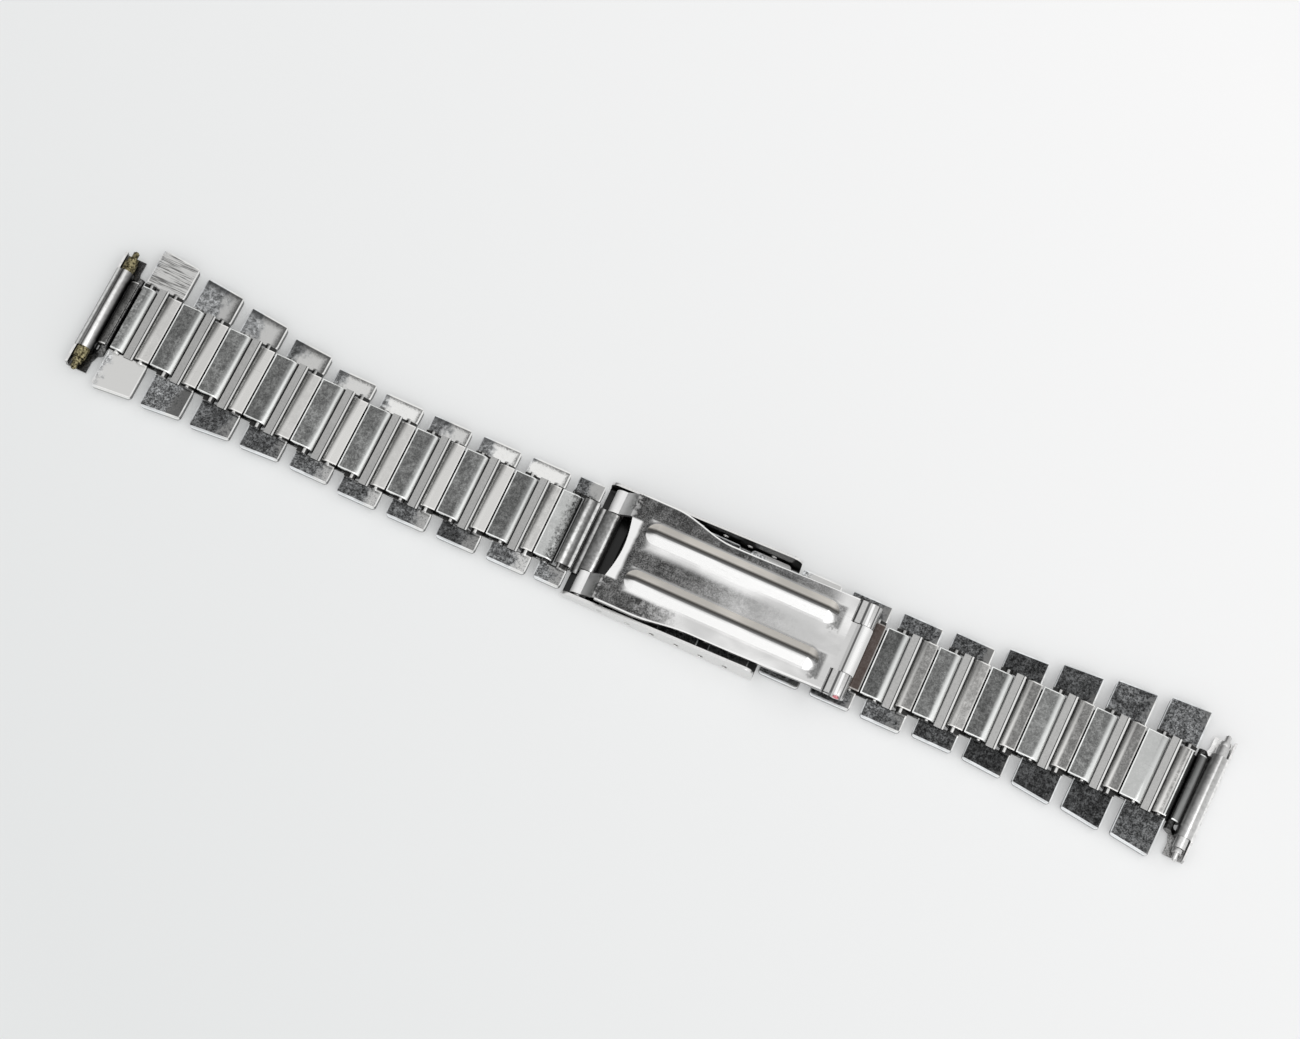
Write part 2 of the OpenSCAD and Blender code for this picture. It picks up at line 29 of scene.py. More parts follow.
# Camera: a long lens 36 cm above the table, tilted so that the near edges of the links
# show. Its place and angles were fitted to the corners of the plates in the photograph.
camera_data = bpy.data.cameras.new("camera")
camera_data.lens = 83.08
camera_data.sensor_width = 36.0
camera_data.clip_start = 0.02
camera_data.clip_end = 5.0
camera = bpy.data.objects.new("camera", camera_data)
camera.location = (0.024116, -0.107028, 0.358223)
camera.rotation_euler = (math.radians(17.910), math.radians(-2.846), math.radians(24.070))
bpy.context.scene.collection.objects.link(camera)
bpy.context.scene.camera = camera
bpy.context.scene.view_settings.view_transform = "Standard"
bpy.context.scene.view_settings.look = "None"


# Room light: a pale dome, white overhead and towards the lower right, dark at the back and the
# left, so that flat polished steel shows its own tone and shades where it curves away.
BLACK = (0.0, 0.0, 0.0, 1.0)
WHITE = (1.0, 1.0, 1.0, 1.0)
BRIGHT_SIDE = (0.42, -0.62, 0.66)
DOME_DARKEST = 0.16
room = bpy.data.worlds.new("room")
bpy.context.scene.world = room
room.use_nodes = True
dome = room.node_tree
dome.nodes.clear()
direction = dome.nodes.new("ShaderNodeTexCoord")
lean = dome.nodes.new("ShaderNodeVectorMath")
lean.operation = "DOT_PRODUCT"
lean.inputs[1].default_value = BRIGHT_SIDE
fade = dome.nodes.new("ShaderNodeMapRange")
fade.interpolation_type = "SMOOTHSTEP"
fade.inputs["From Min"].default_value = -0.45
fade.inputs["From Max"].default_value = 0.42
fade.inputs["To Min"].default_value = DOME_DARKEST
fade.inputs["To Max"].default_value = 1.0
dome_tint = dome.nodes.new("ShaderNodeMix")
dome_tint.data_type = "RGBA"
dome_tint.inputs[6].default_value = BLACK
dome_tint.inputs[7].default_value = WHITE
glow = dome.nodes.new("ShaderNodeBackground")
glow.inputs["Strength"].default_value = 1.0
dome_out = dome.nodes.new("ShaderNodeOutputWorld")
dome.links.new(direction.outputs["Generated"], lean.inputs[0])
dome.links.new(lean.outputs["Value"], fade.inputs["Value"])
dome.links.new(fade.outputs["Result"], dome_tint.inputs[0])
dome.links.new(dome_tint.outputs[2], glow.inputs["Color"])
dome.links.new(glow.outputs[0], dome_out.inputs["Surface"])


# Window: one wide square lamp from the lower right of the picture, turned towards the
# clasp, for the soft shadows beside the links.
WINDOW_PLACE = (0.35, -0.30, 0.80)
WINDOW_SIZE = 0.6
WINDOW_WATTS = 1.6
window_data = bpy.data.lights.new("window", "AREA")
window_data.shape = "RECTANGLE"
window_data.size = WINDOW_SIZE
window_data.size_y = WINDOW_SIZE
window_data.energy = WINDOW_WATTS
window = bpy.data.objects.new("window", window_data)
window.location = WINDOW_PLACE
right, back, up = WINDOW_PLACE
pitch = math.atan2(math.hypot(right, back), up)
yaw = math.atan2(right, -back)
window.rotation_euler = (pitch, 0.0, yaw)
bpy.context.scene.collection.objects.link(window)


# Table: a plain matt sheet, nearly white, a tenth of a millimetre under the clasp's cover.
# It is a little darker at the lower left of the picture than at the upper right. Its colour
# also glows faintly, a painted light that lightens the shadows beside the bracelet.
TABLE_HALF = 1.6
TABLE_TOP = -0.0001
LOWER_LEFT_TABLE = (0.60, 0.61, 0.61, 1.0)
UPPER_RIGHT_TABLE = (0.73, 0.73, 0.73, 1.0)
TO_UPPER_RIGHT = (0.67, 0.96, 0.0)
table_mesh = bpy.data.meshes.new("table")
table_corners = [(-TABLE_HALF, -TABLE_HALF, TABLE_TOP), (TABLE_HALF, -TABLE_HALF, TABLE_TOP),
                 (TABLE_HALF, TABLE_HALF, TABLE_TOP), (-TABLE_HALF, TABLE_HALF, TABLE_TOP)]
table_mesh.from_pydata(table_corners, [], [(0, 1, 2, 3)])
table = bpy.data.objects.new("table", table_mesh)
bpy.context.scene.collection.objects.link(table)
table_paint = bpy.data.materials.new("pale_table")
table_paint.use_nodes = True
paint_tree = table_paint.node_tree
matt = paint_tree.nodes["Principled BSDF"]
spot = paint_tree.nodes.new("ShaderNodeTexCoord")
run = paint_tree.nodes.new("ShaderNodeVectorMath")
run.operation = "DOT_PRODUCT"
run.inputs[1].default_value = TO_UPPER_RIGHT
ramp = paint_tree.nodes.new("ShaderNodeMapRange")
ramp.inputs["From Min"].default_value = -0.10
ramp.inputs["From Max"].default_value = 0.12
coat = paint_tree.nodes.new("ShaderNodeMix")
coat.data_type = "RGBA"
coat.inputs[6].default_value = LOWER_LEFT_TABLE
coat.inputs[7].default_value = UPPER_RIGHT_TABLE
paint_tree.links.new(spot.outputs["Object"], run.inputs[0])
paint_tree.links.new(run.outputs["Value"], ramp.inputs["Value"])
paint_tree.links.new(ramp.outputs["Result"], coat.inputs[0])
paint_tree.links.new(coat.outputs[2], matt.inputs["Base Color"])
# The table's colour also feeds its glow: painted light that lightens the shadows
paint_tree.links.new(coat.outputs[2], matt.inputs["Emission Color"])
matt.inputs["Emission Strength"].default_value = 0.3
matt.inputs["Roughness"].default_value = 0.9
matt.inputs["Specular IOR Level"].default_value = 0.2
table.data.materials.append(table_paint)


# Worn rolled steel, which every piece of the bracelet is made of: the effects that all of
# them share, as node groups. Each works in the piece's own millimetres, and gives out
# masks or a normal.
GRAIN_STRENGTH = 0.25
GRAIN_HEIGHT = 0.00002
SHARP_EDGE = math.radians(38)
MERGE_DISTANCE = 0.0000005


class Net:
    """Short way to write shader arithmetic inside one node tree."""

    def __init__(self, tree):
        self.tree = tree

    def put(self, kind, **settings):
        node = self.tree.nodes.new(kind)
        for key, setting in settings.items():
            setattr(node, key, setting)
        return node

    def feed(self, node, slot, value):
        if isinstance(value, bpy.types.NodeSocket):
            self.tree.links.new(value, node.inputs[slot])
        else:
            node.inputs[slot].default_value = value

    def math(self, op, *values):
        node = self.put("ShaderNodeMath", operation=op)
        for slot, value in enumerate(values):
            self.feed(node, slot, value)
        return node.outputs[0]

    def plus(self, a, b):
        return self.math("ADD", a, b)

    def minus(self, a, b):
        return self.math("SUBTRACT", a, b)

    def times(self, first, *others):
        for other in others:
            first = self.math("MULTIPLY", first, other)
        return first

    def line(self, value, slope, start):
        """Value times slope, plus start."""
        return self.math("MULTIPLY_ADD", value, slope, start)

    def most(self, first, *others):
        for other in others:
            first = self.math("MAXIMUM", first, other)
        return first

    def least(self, a, b):
        return self.math("MINIMUM", a, b)

    def size(self, value):
        return self.math("ABSOLUTE", value)

    def step(self, value, low, high, to_low=0.0, to_high=1.0):
        """Smooth step from to_low to to_high while value goes from low to high, or down to high."""
        node = self.put("ShaderNodeMapRange", interpolation_type="SMOOTHSTEP")
        self.feed(node, "Value", value)
        self.feed(node, "From Min", low)
        self.feed(node, "From Max", high)
        self.feed(node, "To Min", to_low)
        self.feed(node, "To Max", to_high)
        return node.outputs["Result"]

    def vary(self, mask, low, high):
        """Factor that goes smoothly from low to high as the mask goes from 0 to 1."""
        return self.step(mask, 0.0, 1.0, low, high)

    def blend(self, amount, a, b):
        node = self.put("ShaderNodeMix", data_type="FLOAT")
        self.feed(node, 0, amount)
        self.feed(node, 2, a)
        self.feed(node, 3, b)
        return node.outputs[0]

    def tint(self, amount, a, b, way="MIX"):
        node = self.put("ShaderNodeMix", data_type="RGBA", blend_type=way)
        self.feed(node, 0, amount)
        self.feed(node, 6, a)
        self.feed(node, 7, b)
        return node.outputs[2]

    def cast(self, tone, tinge):
        """Grey of the given tone, with a tinge of colour."""
        return self.tint(1.0, tinge, self.tint(tone, BLACK, WHITE), "MULTIPLY")

    def noise(self, vector, scale, seed, detail=4.0, rough=0.6):
        node = self.put("ShaderNodeTexNoise", noise_dimensions="4D")
        self.feed(node, "Vector", vector)
        self.feed(node, "W", seed)
        self.feed(node, "Scale", scale)
        self.feed(node, "Detail", detail)
        self.feed(node, "Roughness", rough)
        return node.outputs["Fac"]

    def stretch(self, vector, factors):
        node = self.put("ShaderNodeVectorMath", operation="MULTIPLY")
        self.feed(node, 0, vector)
        self.feed(node, 1, factors)
        return node.outputs[0]

    def bands(self, value, low, high, stops):
        """Tone that runs through the given stops while value goes from low to high."""
        node = self.put("ShaderNodeValToRGB")
        elements = node.color_ramp.elements
        while len(elements) < len(stops):
            elements.new(0.5)
        for i, (at, tone) in enumerate(stops):
            elements[i].position = (at - low) / (high - low)
        for i, (at, tone) in enumerate(stops):
            elements[i].color = (tone, tone, tone, 1.0)
        self.feed(node, 0, self.math("DIVIDE", self.minus(value, low), high - low))
        return node.outputs["Color"]

    def xyz(self, vector):
        node = self.put("ShaderNodeSeparateXYZ")
        self.feed(node, 0, vector)
        return node.outputs[0], node.outputs[1], node.outputs[2]

    def call(self, group, **values):
        node = self.put("ShaderNodeGroup", node_tree=group)
        for label, value in values.items():
            self.feed(node, label, value)
        return node.outputs


def new_group(name, takes, gives):
    """Node group with the named sockets. All but Vector, Normal and Color are numbers."""
    kinds = {"Vector": "NodeSocketVector", "Normal": "NodeSocketVector", "Color": "NodeSocketColor"}
    group = bpy.data.node_groups.new(name, "ShaderNodeTree")
    for labels, way in ((takes, "INPUT"), (gives, "OUTPUT")):
        for label in labels:
            kind = kinds.get(label, "NodeSocketFloat")
            group.interface.new_socket(label, in_out=way, socket_type=kind)
    start = group.nodes.new("NodeGroupInput")
    end = group.nodes.new("NodeGroupOutput")
    return group, Net(group), start.outputs, end


# Cloudy tarnish: patches of a few millimetres, blots of half a millimetre and fine speckle on top.
tarnish, net, given, end = new_group("tarnish", ["Vector", "Seed"], ["Patches", "Blots", "Speckle"])
broad = net.noise(given["Vector"], 0.55, given["Seed"], 3.0, 0.55)
middling = net.noise(given["Vector"], 1.9, given["Seed"], 2.0, 0.6)
fine = net.noise(given["Vector"], 5.5, given["Seed"], 2.0, 0.7)
net.feed(end, "Patches", net.step(broad, 0.38, 0.62))
net.feed(end, "Blots", net.step(middling, 0.36, 0.64))
net.feed(end, "Speckle", net.step(fine, 0.32, 0.68))

# Fine scratches: long thin streaks in two crossing directions, a few on each piece.
scratches, net, given, end = new_group("scratches", ["Vector", "Seed"], ["Mask"])
along = net.noise(net.stretch(given["Vector"], (0.25, 7.0, 1.0)), 1.6, given["Seed"], 2.0, 0.5)
askew = net.put("ShaderNodeVectorRotate", rotation_type="Z_AXIS")
net.feed(askew, "Vector", given["Vector"])
net.feed(askew, "Angle", 0.9)
across = net.noise(net.stretch(askew.outputs[0], (6.0, 0.3, 1.0)), 1.3, given["Seed"], 2.0, 0.5)
net.feed(end, "Mask", net.most(net.step(along, 0.66, 0.74), net.step(across, 0.68, 0.75)))

# Rolled grain: faint unevenness that breaks up reflections.
grain, net, given, end = new_group("grain", ["Vector", "Strength"], ["Normal"])
bump = net.put("ShaderNodeBump")
net.feed(bump, "Height", net.noise(given["Vector"], 4.0, 1.0, 4.0, 0.7))
net.feed(bump, "Strength", given["Strength"])
net.feed(bump, "Distance", GRAIN_HEIGHT)
net.feed(end, "Normal", bump.outputs[0])


def steel(name, place, angle, build):
    """Metal whose look is built in millimetres round place, turned by angle about Z."""
    material = bpy.data.materials.new(name)
    material.use_nodes = True
    net = Net(material.node_tree)
    metal = material.node_tree.nodes["Principled BSDF"]
    coords = net.put("ShaderNodeTexCoord")
    local = net.put("ShaderNodeMapping", vector_type="TEXTURE")
    net.feed(local, "Vector", coords.outputs["Object"])
    local.inputs["Location"].default_value = place
    local.inputs["Rotation"].default_value = (0.0, 0.0, angle)
    local.inputs["Scale"].default_value = (0.001, 0.001, 0.001)
    here = local.outputs[0]
    colour, roughness = build(net, here)
    metal.inputs["Metallic"].default_value = 1.0
    net.feed(metal, "Base Color", colour)
    net.feed(metal, "Roughness", roughness)
    net.feed(metal, "Normal", net.call(grain, Vector=here, Strength=GRAIN_STRENGTH)["Normal"])
    return material


def dress(name, material, edge):
    """Gives the node its material, and rounds its sharp edges by edge, in metres."""
    piece = nodes[name]
    piece.data.materials.clear()
    piece.data.materials.append(material)
    weld = piece.modifiers.new("join", "WELD")
    weld.merge_threshold = MERGE_DISTANCE
    if edge:
        rounded = piece.modifiers.new("rounded edges", "BEVEL")
        rounded.width = edge
        rounded.segments = 2
        rounded.limit_method = "ANGLE"
        rounded.angle_limit = SHARP_EDGE


def strand_frame(name, reach):
    """Point reach mm outwards from a piece's hinge, the strand's angle there, and its sign in X."""
    joint = next(j for j in frame["joints"] if j["name"] == name + "_hinge")
    axis = joint["axis"]
    outward = np.array([-axis[1], axis[0], 0.0])
    sign = 1.0 if outward[0] > 0 else -1.0
    place = np.array(joint["pos_m"]) + outward * reach / 1000
    return tuple(place), math.atan2(outward[1] * sign, outward[0] * sign), sign


# Links: stamped steel plates with two wings each, joined by two cross bars and a middle bar.
# The left ones are bright with dark left corners, the right ones dull and speckled: a painted
# reflection over tarnish mottling. The edges carry a painted highlight, and the slots that the
# clips lie in are painted black as shade. Sizes in millimetres.
PLATE_HALF = 2.675
SHORT_PLATE_HALF = 1.8
BAR_AT = 1.7
SHORT_BAR_AT = 0.85
MIDDLE_HALF = 0.62
SLOT_HALF = 4.9
LINK_EDGE = 0.00009
# Tones: painted highlight on the edges, painted shade line inside them, painted shade in
# crevices, bright bar ends, plain outer face
LINK_EDGE_HIGHLIGHT = 0.88
SHADE_LINE = 0.06
CREVICE_SHADE = 0.04
BAR_END = 0.6
PLAIN_LOW = 0.5
PLAIN_HIGH = 0.62
PLATE_VALUES = ["Half length", "Half width", "Slope", "File marks", "Frame", "Middle"]
WING_VALUES = ["Upper dark", "Upper light", "Upper border", "Lower dark", "Lower light", "Lower border"]
link_look, net, given, end = new_group(
    "link_look", ["Vector"] + PLATE_VALUES + WING_VALUES + ["Seed"], ["Color", "Roughness"])
x, y, z = net.xyz(given["Vector"])
far_x = net.size(x)
far_y = net.size(y)
on_top = net.step(y, -0.5, 0.5)
clouds = net.call(tarnish, Vector=given["Vector"], Seed=given["Seed"])
to_side = net.minus(net.line(given["Slope"], x, given["Half width"]), far_y)
to_edge = net.least(net.minus(given["Half length"], far_x), to_side)
to_right_edge = net.least(net.minus(given["Half length"], x), to_side)

# Each wing: a mottled dark part up to a ragged border, then a light part. The split is a
# painted reflection; the mottling is tarnish
dark = net.blend(on_top, given["Lower dark"], given["Upper dark"])
light = net.blend(on_top, given["Lower light"], given["Upper light"])
border = net.blend(on_top, given["Lower border"], given["Upper border"])
wave = net.noise(given["Vector"], 0.7, given["Seed"], 2.0, 0.5)
past_border = net.minus(net.line(wave, 5.0, x), net.plus(border, 2.5))
is_light = net.step(net.line(clouds["Blots"], 0.4, past_border), -0.8, 0.9)
least_light = net.most(given["File marks"], net.blend(on_top, 0.45, 0.92))
is_light = net.times(is_light, net.step(clouds["Speckle"], 0.0, 0.5, least_light, 1.0))
framed = net.times(on_top, given["Frame"])
strong_specks = net.vary(clouds["Speckle"], 0.35, 1.85)
faint_specks = net.vary(clouds["Speckle"], 0.7, 1.5)
mottle = net.times(net.blend(framed, strong_specks, faint_specks),
                   net.vary(clouds["Blots"], 0.65, 1.35),
                   net.vary(clouds["Patches"], 0.8, 1.2))
tone = net.blend(is_light, net.times(dark, mottle), light)

# File marks across the outermost upper wing on the left
ruled = net.noise(net.stretch(given["Vector"], (0.35, 6.5, 1.0)), 1.0, given["Seed"], 3.0, 0.6)
filed = net.times(given["File marks"], on_top)
tone = net.times(tone, net.blend(filed, 1.0, net.step(ruled, 0.38, 0.56, 0.3, 1.1)))

# Painted shade line inside the outer and right edges of the left upper wings, then a painted
# highlight on the edges
line_width = net.step(given["Frame"], 0.85, 0.95, 0.6, 1.15)
edge_shade = net.times(net.step(to_right_edge, 0.12, 0.25),
                      net.step(net.line(clouds["Speckle"], -0.3, to_right_edge), line_width, 0.0))
tone = net.blend(net.times(edge_shade, framed), tone, SHADE_LINE)
edge_highlight = net.most(net.step(to_right_edge, 0.2, 0.12), net.times(net.step(to_edge, 0.17, 0.08), 0.7))
tone = net.blend(net.times(edge_highlight, net.vary(clouds["Patches"], 0.75, 1.0)), tone, LINK_EDGE_HIGHLIGHT)

# Painted light and shade on the walls: outer walls bright and darker low down, walls towards
# the neighbours dark. Slots painted black as shade, with the bars' bright ends
outer_wall_light = net.step(z, -0.45, -0.7, 1.0, 0.4)
wall = net.blend(net.step(to_side, 0.25, 0.1), 0.1, outer_wall_light)
tone = net.blend(net.step(z, -0.02, -0.12), tone, wall)
slot_shade = net.times(net.step(far_y, SLOT_HALF + 0.12, SLOT_HALF + 0.05),
                    net.step(far_x, MIDDLE_HALF + 0.04, MIDDLE_HALF + 0.08))
bar_end = net.times(net.step(z, 0.3, 0.45), net.step(net.size(net.minus(far_x, BAR_AT)), 0.22, 0.1))
tone = net.blend(slot_shade, tone, net.blend(bar_end, CREVICE_SHADE, BAR_END))

# Middle bar: grey, with a painted shade line and a painted highlight line along its right edge,
# and painted black shade on its lower part
strip = net.plus(given["Middle"], net.line(clouds["Speckle"], 0.08, -0.04))
strip = net.blend(net.step(x, 0.27, 0.31), strip, SHADE_LINE)
strip = net.blend(net.step(x, 0.38, 0.42), strip, net.times(given["Middle"], 1.7))
strip = net.blend(net.step(z, 0.3, 0.2), strip, 0.03)
on_strip = net.times(net.step(far_x, MIDDLE_HALF + 0.06, MIDDLE_HALF + 0.02),
                     net.step(far_y, SLOT_HALF + 0.25, SLOT_HALF + 0.18))
tone = net.blend(on_strip, tone, strip)

# The outer face, away from the wrist, is plain
plain = net.vary(clouds["Patches"], PLAIN_LOW, PLAIN_HIGH)
tone = net.blend(net.step(z, -0.92, -0.98), tone, plain)
is_warm = net.most(is_light, net.step(far_y, SLOT_HALF + 0.25, SLOT_HALF + 0.15))
tinge = net.tint(is_warm, (0.965, 0.985, 1.0, 1.0), (1.0, 0.997, 0.98, 1.0))
net.feed(end, "Color", net.cast(tone, tinge))
net.feed(end, "Roughness", net.blend(is_light, 0.42, 0.3))

# Each link's wing values, in the order of WING_VALUES. A border is the place, in mm to the
# right of the plate's middle, where the dark part ends
LEFT_LINKS = [
    (0.14, 0.40, 0.3, 0.20, 0.34, 0.2), (0.28, 0.85, -1.9, 0.16, 0.60, 0.9),
    (0.20, 0.85, -0.9, 0.08, 0.27, 1.1), (0.17, 0.64, -0.3, 0.11, 0.42, 1.3),
    (0.30, 0.85, -2.0, 0.11, 0.55, 1.1), (0.21, 0.68, -1.1, 0.12, 0.45, 1.2),
    (0.16, 0.58, -0.9, 0.10, 0.26, 2.0), (0.26, 0.56, -0.5, 0.11, 0.27, 1.9),
    (0.28, 0.48, 0.6, 0.21, 0.13, 1.0), (0.36, 0.56, -2.6, 0.50, 0.66, -2.6)]
RIGHT_LINKS = [
    (0.08, 0.20, 3.0, 0.05, 0.10, 3.0), (0.60, 0.85, -1.0, 0.08, 0.20, 2.0),
    (0.40, 0.55, -1.5, 0.14, 0.30, 1.5), (0.11, 0.22, 2.0, 0.13, 0.25, 1.8),
    (0.10, 0.22, 2.5, 0.12, 0.25, 2.0), (0.08, 0.20, 2.2, 0.06, 0.14, 2.8),
    (0.05, 0.10, 2.8, 0.045, 0.10, 3.0), (0.065, 0.12, 2.8, 0.05, 0.10, 3.0),
    (0.10, 0.20, 2.6, 0.05, 0.10, 3.0), (0.13, 0.20, 2.8, 0.09, 0.18, 2.8)]
# Width of each plate at its middle, and how much half of it grows for each mm outwards
WIDTHS = [14.5] * 6 + [15.7, 17.2, 18.5, 19.8]
SLANTS = [0.0] * 6 + [0.06, 0.093, 0.093, 0.093]
# How much of the painted shade line inside the edges each upper wing shows, on the left only
FRAMES = [0.0] + [0.85] * 5 + [0.95] * 3 + [0.0]
for side, wings in (("left", LEFT_LINKS), ("right", RIGHT_LINKS)):
    is_left = side == "left"
    for i, wing in enumerate(wings):
        name = "%s_link_%02d" % (side, i + 1)
        is_short = is_left and i == 0
        place, angle, sign = strand_frame(name, SHORT_BAR_AT if is_short else BAR_AT)
        look = dict(zip(WING_VALUES, wing))
        look["Half length"] = SHORT_PLATE_HALF if is_short else PLATE_HALF
        look["Half width"] = WIDTHS[i] / 2
        look["Slope"] = sign * SLANTS[i]
        look["File marks"] = 1.0 if is_left and i == 9 else 0.0
        look["Frame"] = FRAMES[i] if is_left else 0.0
        look["Middle"] = 0.42 if is_left else 0.46
        look["Seed"] = 3.7 * i + (0.0 if is_left else 50.0)

        def link_steel(net, here, look=look):
            parts = net.call(link_look, Vector=here, **look)
            return parts["Color"], parts["Roughness"]

        dress(name, steel("steel_" + name, place, angle, link_steel), LINK_EDGE)


# Clips: strips of steel sheet folded round the bars of two links, with an open seam on the
# wrist side. The left flap is mostly plain and light, the right flap clouded and dark up to the
# bright bend at its end: a painted reflection over tarnish clouding, with a painted highlight on
# the bend. Sizes in millimetres.
CLIP_HALF_WIDTH = 4.6
BAR_SPACING = 3.4
BEND_RADIUS = 1.0
SEAM_AT = -0.45
CLIP_EDGE = 0.00005
# Tones: painted highlights on the bends and edges, painted shade inside behind the seam
BEND_HIGHLIGHT = 0.92
CLIP_EDGE_HIGHLIGHT = 0.95
SHADE_BEHIND_SEAM = 0.03
CLIP_VALUES = ["Left", "Right", "Cloud left", "Cloud right", "Bend left", "Bend right"]
clip_look, net, given, end = new_group(
    "clip_look", ["Vector", "Half length"] + CLIP_VALUES + ["Band", "Seed"], ["Color", "Roughness"])
x, y, z = net.xyz(given["Vector"])
clouds = net.call(tarnish, Vector=given["Vector"], Seed=given["Seed"])
marks = net.call(scratches, Vector=given["Vector"], Seed=given["Seed"])
from_seam = net.minus(x, SEAM_AT)
is_right = net.step(from_seam, -0.02, 0.02)
to_left_end = net.plus(x, given["Half length"])
to_right_end = net.minus(given["Half length"], x)
to_side = net.minus(CLIP_HALF_WIDTH, net.size(y))

# The two flaps, each with its own tone, partly a painted reflection, and clouding
cloud = net.blend(is_right, given["Cloud left"], given["Cloud right"])
mottle = net.times(net.vary(clouds["Speckle"], 0.7, 1.4),
                   net.vary(clouds["Blots"], 0.8, 1.2),
                   net.vary(clouds["Patches"], 0.85, 1.2))
tone = net.times(net.blend(is_right, given["Left"], given["Right"]), net.blend(cloud, 1.0, mottle))

# Darker towards the left end, a painted sheen on the slope before the right bend, painted
# shade at the very end, and dirt at the right end where Bend right is below 0
ragged_left = net.line(clouds["Blots"], -0.35, to_left_end)
tone = net.times(tone, net.step(ragged_left, 0.25, 0.0, 1.0, net.line(given["Bend left"], 0.3, 0.65)))
tone = net.blend(net.step(to_right_end, 1.3, 0.5, 0.0, 0.45), tone, net.most(tone, 0.5))
tone = net.blend(net.step(to_right_end, 0.22, 0.1), tone, 0.35)
ragged_right = net.line(clouds["Blots"], -0.8, to_right_end)
soiled = net.times(net.step(ragged_right, 1.1, 0.1), net.times(given["Bend right"], -1.0))
tone = net.times(tone, net.blend(soiled, 1.0, net.vary(clouds["Speckle"], 0.1, 0.55)))

# Painted highlights on the bends, at the sides and along the seam; scratches
bend_left = net.times(net.step(to_left_end, 0.2, 0.45), net.step(to_left_end, 1.0, 0.6), given["Bend left"])
bend_right = net.times(net.step(to_right_end, 0.1, 0.24),
                       net.step(to_right_end, net.plus(given["Band"], 0.35), 0.35), given["Bend right"])
tone = net.blend(net.most(bend_left, bend_right), tone, BEND_HIGHLIGHT)
at_seam = net.step(net.size(net.minus(net.size(from_seam), 0.17)), 0.11, 0.07)
on_edge = net.most(net.step(to_side, 0.2, 0.12), net.times(at_seam, net.blend(is_right, 0.5, 1.0)))
edge_highlight = net.times(on_edge, net.step(z, 0.55, 0.75))
tone = net.blend(net.times(edge_highlight, net.vary(clouds["Patches"], 0.8, 1.0)), tone, CLIP_EDGE_HIGHLIGHT)
tone = net.times(tone, net.blend(marks["Mask"], 1.0, 0.82))

# Plain outer face, painted black shade inside behind the seam, painted shade on the cut edges
plain = net.vary(clouds["Patches"], PLAIN_LOW, PLAIN_HIGH)
tone = net.blend(net.step(z, -0.75, -0.95), tone, plain)
shade_behind_seam = net.times(net.step(z, 0.93, 0.85), net.math("LESS_THAN", net.size(from_seam), 0.5),
                        net.step(z, -0.9, -0.7))
tone = net.blend(shade_behind_seam, tone, SHADE_BEHIND_SEAM)
tone = net.blend(net.times(net.step(to_side, 0.02, 0.0), net.step(z, 0.6, 0.4)), tone, CREVICE_SHADE)
is_warm = net.times(net.minus(1.0, is_right), 0.6)
tinge = net.tint(is_warm, (0.985, 1.0, 0.985, 1.0), (1.0, 0.975, 0.945, 1.0))
net.feed(end, "Color", net.cast(tone, tinge))
net.feed(end, "Roughness", net.line(cloud, 0.14, 0.26))

# Each clip's values, in the order of CLIP_VALUES
LEFT_CLIPS = [
    (0.42, 0.40, 0.4, 0.4, 1.0, 0.9), (0.58, 0.52, 0.2, 0.2, 0.0, -1.0), (0.68, 0.14, 0.0, 0.9, 0.0, 0.9),
    (0.66, 0.17, 0.0, 0.9, 0.0, 1.0), (0.60, 0.17, 0.1, 0.9, 0.0, 1.0), (0.70, 0.18, 0.0, 0.9, 0.0, 1.0),
    (0.60, 0.19, 0.1, 0.9, 0.0, 0.9), (0.66, 0.14, 0.0, 0.9, 0.0, 1.0), (0.62, 0.18, 0.0, 0.9, 0.0, 0.9),
    (0.60, 0.16, 0.1, 0.9, 0.0, 0.9), (0.13, 0.24, 1.0, 1.0, 0.0, 0.9)]
# right_clip_11's near black right flap is painted shade
RIGHT_CLIPS = [
    (0.30, 0.30, 0.5, 0.5, 0.5, 0.5), (0.30, 0.30, 0.5, 0.5, 0.5, 0.5), (0.30, 0.30, 0.5, 0.5, 0.5, 0.5),
    (0.50, 0.40, 0.5, 0.5, 0.5, 0.8), (0.09, 0.10, 0.9, 0.9, 0.0, 0.9), (0.26, 0.18, 0.6, 0.8, 0.7, 1.0),
    (0.36, 0.13, 0.5, 0.9, 0.5, 1.0), (0.20, 0.23, 0.7, 0.7, 1.0, 0.9), (0.22, 0.19, 0.7, 0.8, 1.0, 0.9),
    (0.21, 0.50, 0.6, 0.1, 1.0, 0.4), (0.36, 0.05, 0.7, 0.6, 1.0, 0.0)]
# Distance between the two bars of the clips that aren't like the others
ODD_SPACINGS = {"left_clip_02": 2.6, "left_clip_11": 1.75, "right_clip_01": 4.55, "right_clip_11": 1.75}
# Painted shade with a brownish painted reflection, on the left flap of the clip next to the tongue
BROWN_SHADE = (0.10, 0.07, 0.06, 1.0)

# The clip on the blade's pin has painted highlights and shade across both its tubes: stops of
# mm from its middle to the right, tone
PIN_CLIP_END = 2.7
PIN_CLIP_LIGHT_STOPS = [
    (-2.7, 0.2), (-2.5, 0.7), (-2.3, 0.45), (-2.05, 0.4), (-1.85, 0.95), (-1.65, 0.9), (-1.45, 0.35),
    (-1.05, 0.13), (-0.85, 0.14), (-0.72, 0.75), (-0.5, 0.8), (-0.38, 0.05), (-0.1, 0.1), (0.1, 0.5),
    (0.25, 0.6), (0.38, 0.06), (0.8, 0.1), (1.3, 0.2), (1.6, 0.3), (1.9, 0.4), (2.05, 0.85), (2.45, 0.98),
    (2.7, 0.6)]


